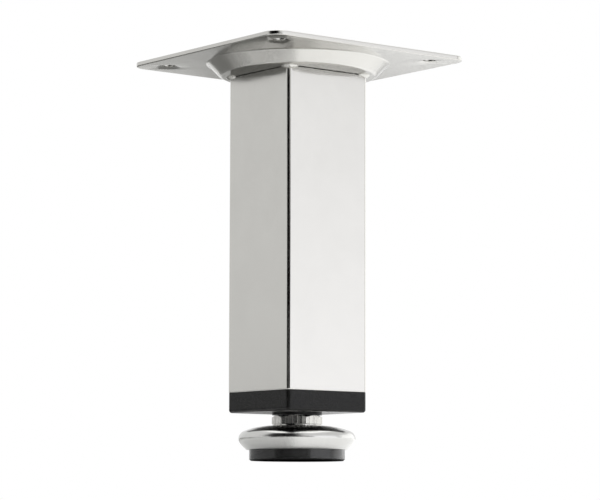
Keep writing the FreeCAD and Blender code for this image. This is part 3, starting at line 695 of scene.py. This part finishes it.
def add_world():
    """A white room: white to the eye and in reflections, and a softer, even light on everything."""
    world = bpy.data.worlds.new("white_room")
    world.use_nodes = True
    tree = world.node_tree
    tree.nodes.clear()
    ray = add_node(tree, "ShaderNodeLightPath").outputs
    seen = ray["Is Camera Ray"]
    for kind in ("Is Glossy Ray", "Is Transmission Ray"):
        either = add_node(tree, "ShaderNodeMath", {0: seen, 1: ray[kind]}, operation="MAXIMUM")
        seen = either.outputs["Value"]
    level = add_node(tree, "ShaderNodeMapRange", {"Value": seen, "To Min": ROOM_LIGHT, "To Max": ROOM_WHITE})
    light = add_node(tree, "ShaderNodeBackground", {
        "Color": colour("#FFFFFF"), "Strength": level.outputs["Result"]})
    add_node(tree, "ShaderNodeOutputWorld", {"Surface": light.outputs["Background"]})
    bpy.context.scene.world = world


def bearing(degrees, distance, height):
    """A place round the leg, by its angle to the left of the camera as the camera sees it."""
    angle = CAMERA_SIDE - math.radians(degrees)
    return Vector((distance * math.cos(angle), distance * math.sin(angle), height))


def add_lamp(name, place, aim, width, height, level, far_share=1.0, hue="#FFFFFF"):
    """A soft lamp whose face is brighter than the white room by level, or by a share of that at one side."""
    lamp = bpy.data.lights.new(name, "AREA")
    lamp.shape, lamp.size, lamp.size_y = "RECTANGLE", width, height
    lamp.energy = level * LAMP_POWER * width * height
    lamp.use_nodes = True
    tree = lamp.node_tree
    tree.nodes.clear()
    across = add_node(tree, "ShaderNodeNewGeometry").outputs["Parametric"]
    split = add_node(tree, "ShaderNodeSeparateXYZ", {"Vector": across})
    share = add_node(tree, "ShaderNodeMapRange", {
        "Value": split.outputs["Y"], "To Min": 1.0, "To Max": far_share})
    light = add_node(tree, "ShaderNodeEmission", {"Color": colour(hue), "Strength": share.outputs["Result"]})
    add_node(tree, "ShaderNodeOutputLight", {"Surface": light.outputs["Emission"]})
    holder = bpy.data.objects.new(name, lamp)
    bpy.context.scene.collection.objects.link(holder)
    holder.location = place
    holder.rotation_euler = (Vector(aim) - Vector(place)).to_track_quat("-Z", "Y").to_euler()
    holder.visible_camera = False


def finish_reflection_card(card, dark, light, centre, half, soft, solid, gone, glow):
    """A card that paints a reflection: the metal mirrors it, and nothing else shows it.

    It is a mottle of two greys, and may glow, which paints light into the reflection though the card is no
    lamp. It spans half to each side of the bearing of its centre, with soft ends, all in degrees, and thins
    out from the distance where it is solid to the one where it is gone.
    """
    material, tree = start_material(card.name + "_face")
    place = add_node(tree, "ShaderNodeTexCoord").outputs["Object"]
    nap = add_node(tree, "ShaderNodeTexNoise", {"Vector": place, "Scale": 30.0})
    tint = add_node(tree, "ShaderNodeMix", {
        MIX_SHARE: nap.outputs["Fac"], MIX_FIRST: colour(dark), MIX_SECOND: colour(light)},
        data_type="RGBA")
    # The card's grey and glow are painted reflection and painted light, seen only in the metal.
    face = add_node(tree, "ShaderNodeBsdfPrincipled", {
        "Base Color": tint.outputs[MIX_RESULT], "Roughness": 1.0, "Specular IOR Level": 0.0,
        "Emission Color": colour("#FFFFFF"), "Emission Strength": glow})
    ahead = bearing(centre, 1, 0)
    turned = add_node(tree, "ShaderNodeMapping", {
        "Vector": place, "Rotation": (0, 0, -math.atan2(ahead.y, ahead.x))})
    spoke = add_node(tree, "ShaderNodeTexGradient", {"Vector": turned.outputs["Vector"]},
                     gradient_type="RADIAL")
    # The gradient is 0.5 at the card's centre and grows by 1 in a full turn.
    off = add_node(tree, "ShaderNodeMath", {0: spoke.outputs["Fac"], 1: 0.5}, operation="SUBTRACT")
    off = add_node(tree, "ShaderNodeMath", {0: off.outputs["Value"]}, operation="ABSOLUTE")
    ends = add_node(tree, "ShaderNodeMapRange", {
        "Value": off.outputs["Value"], "From Min": (half - soft) / 360, "From Max": (half + soft) / 360},
        interpolation_type="SMOOTHSTEP")
    away = add_node(tree, "ShaderNodeVectorMath", {0: place}, operation="LENGTH")
    fade = add_node(tree, "ShaderNodeMapRange", {
        "Value": away.outputs["Value"], "From Min": solid, "From Max": gone})
    thin = add_node(tree, "ShaderNodeMath", {0: ends.outputs["Result"], 1: fade.outputs["Result"]},
                    operation="MAXIMUM")
    clear = add_node(tree, "ShaderNodeBsdfTransparent")
    both = add_node(tree, "ShaderNodeMixShader", {
        "Fac": thin.outputs["Value"], 1: face.outputs["BSDF"], 2: clear.outputs["BSDF"]})
    add_node(tree, "ShaderNodeOutputMaterial", {"Surface": both.outputs["Shader"]})
    card.data.materials.append(material)
    card.visible_camera = card.visible_diffuse = False
    card.visible_transmission = card.visible_shadow = False


def add_reflection_curtain(name, radius, foot, head, **looks):
    """An upright card that curves round the leg, from one height to another; it paints a dark reflection."""
    bpy.ops.object.select_all(action="DESELECT")
    bpy.ops.mesh.primitive_circle_add(vertices=CARD_STEPS, radius=radius, fill_type="NOTHING",
                                      location=(0, 0, foot))
    curtain = new_piece(name)
    edit(curtain)
    bpy.ops.mesh.select_all(action="SELECT")
    bpy.ops.mesh.extrude_region_move(TRANSFORM_OT_translate={"value": (0, 0, head - foot)})
    close()
    finish_reflection_card(curtain, solid=CURTAIN_SOLID, gone=CURTAIN_GONE, glow=0.0, **looks)


def add_floor_reflection_card(name, height, near, far, **looks):
    """A flat card just above the floor that paints the floor's reflection, from one distance to another; it
    stays with the floor.
    """
    bpy.ops.object.select_all(action="DESELECT")
    bpy.ops.mesh.primitive_circle_add(vertices=CARD_STEPS, radius=near, fill_type="NOTHING",
                                      location=(0, 0, height))
    card = new_piece(name)
    edit(card)
    bpy.ops.mesh.select_all(action="SELECT")
    bpy.ops.mesh.extrude_edges_move()
    bpy.ops.transform.resize(value=(far / near, far / near, 1), center_override=(0, 0, 0))
    close()
    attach(card, "swivel")
    finish_reflection_card(card, **looks)


def add_camera():
    """The camera stands a little lower than the foot and looks up at the plate's underside."""
    lens = bpy.data.cameras.new("viewpoint")
    lens.lens, lens.sensor_width = CAMERA_LENS, CAMERA_SENSOR
    viewpoint = bpy.data.objects.new("viewpoint", lens)
    bpy.context.scene.collection.objects.link(viewpoint)
    viewpoint.location = CAMERA_PLACE
    viewpoint.rotation_euler = [math.radians(turn) for turn in CAMERA_TURN]
    bpy.context.scene.camera = viewpoint


chrome, bright, zinc = satin_chrome_plate(), bright_chrome_plate(), zinc_plated_steel()
polypropylene, polyethylene = black_polypropylene(), black_polyethylene()

make_plate(chrome)
make_tube(chrome)
make_welds(chrome)
make_screw(zinc)
make_cap(bright)
make_pad(polyethylene)

# These keep their CAD shape and get their finish.
for node, material in (("end_plug", polypropylene), ("threaded_insert", zinc), ("swivel_washer", zinc)):
    kept = bpy.data.objects[node]
    kept.data.materials.clear()
    kept.data.materials.append(material)

add_floor()
add_world()
# Dark cards round the leg that only the metal mirrors: painted shade in its reflections.
add_reflection_curtain("low_dark_curtain", radius=1.6, foot=0.0, head=0.34, dark="#0C0C0C", light="#141414",
            centre=11, half=43, soft=4)
add_reflection_curtain("high_dark_curtain", radius=1.61, foot=0.34, head=2.6, dark="#0C0C0C", light="#141414",
            centre=30, half=37, soft=12)
add_reflection_curtain("dark_skirting", radius=1.85, foot=0.0, head=0.05, dark="#2A2A2A", light="#303030",
            centre=106, half=44, soft=8)
# A grey card on the floor, seen only in the metal: painted shade in the floor's reflection.
add_floor_reflection_card("grey_floor_paper", height=0.6 * MM, near=0.08, far=1.8, dark="#90908E", light="#969694",
                centre=137, half=44, soft=5, solid=0.25, gone=0.08, glow=0.0)
# Glowing cards on the floor, seen only in the metal: painted light in its reflections, though they are no
# lamps.
add_floor_reflection_card("pale_floor_paper", height=0.7 * MM, near=0.6, far=1.8, dark="#EEEEEC", light="#F2F2F0",
                centre=166, half=9, soft=5, solid=1.0, gone=0.7, glow=0.4)
# These two start at the pad's edge and paint light over the foot's own shade on the floor, where the cap
# mirrors it.
add_floor_reflection_card("near_floor_paper", height=0.8 * MM, near=0.021, far=0.09, dark="#F0F0F0", light="#F4F4F4",
                centre=100, half=90, soft=10, solid=0.05, gone=0.09, glow=0.25)
add_floor_reflection_card("white_floor_paper", height=0.4 * MM, near=0.021, far=1.5, dark="#F0F0F0", light="#F4F4F4",
                centre=-80, half=92, soft=25, solid=0.25, gone=1.1, glow=0.78)
add_lamp("key_softbox", place=bearing(-57, 1.55, 0.475), aim=(0, 0, 0.475), width=1.7, height=0.95,
         level=0.9, far_share=0.0, hue="#F6F6FF")
add_lamp("rear_softbox", place=bearing(-126, 1.55, 0.39), aim=(0, 0, 0.39), width=1.63, height=0.78,
         level=0.85, far_share=0.7)
add_lamp("overhead_softbox", place=(0.1, 0.1, 1.6), aim=(0, 0, 0), width=1.8, height=1.8, level=1.0)
add_camera()
bpy.context.scene.view_settings.view_transform = "Standard"
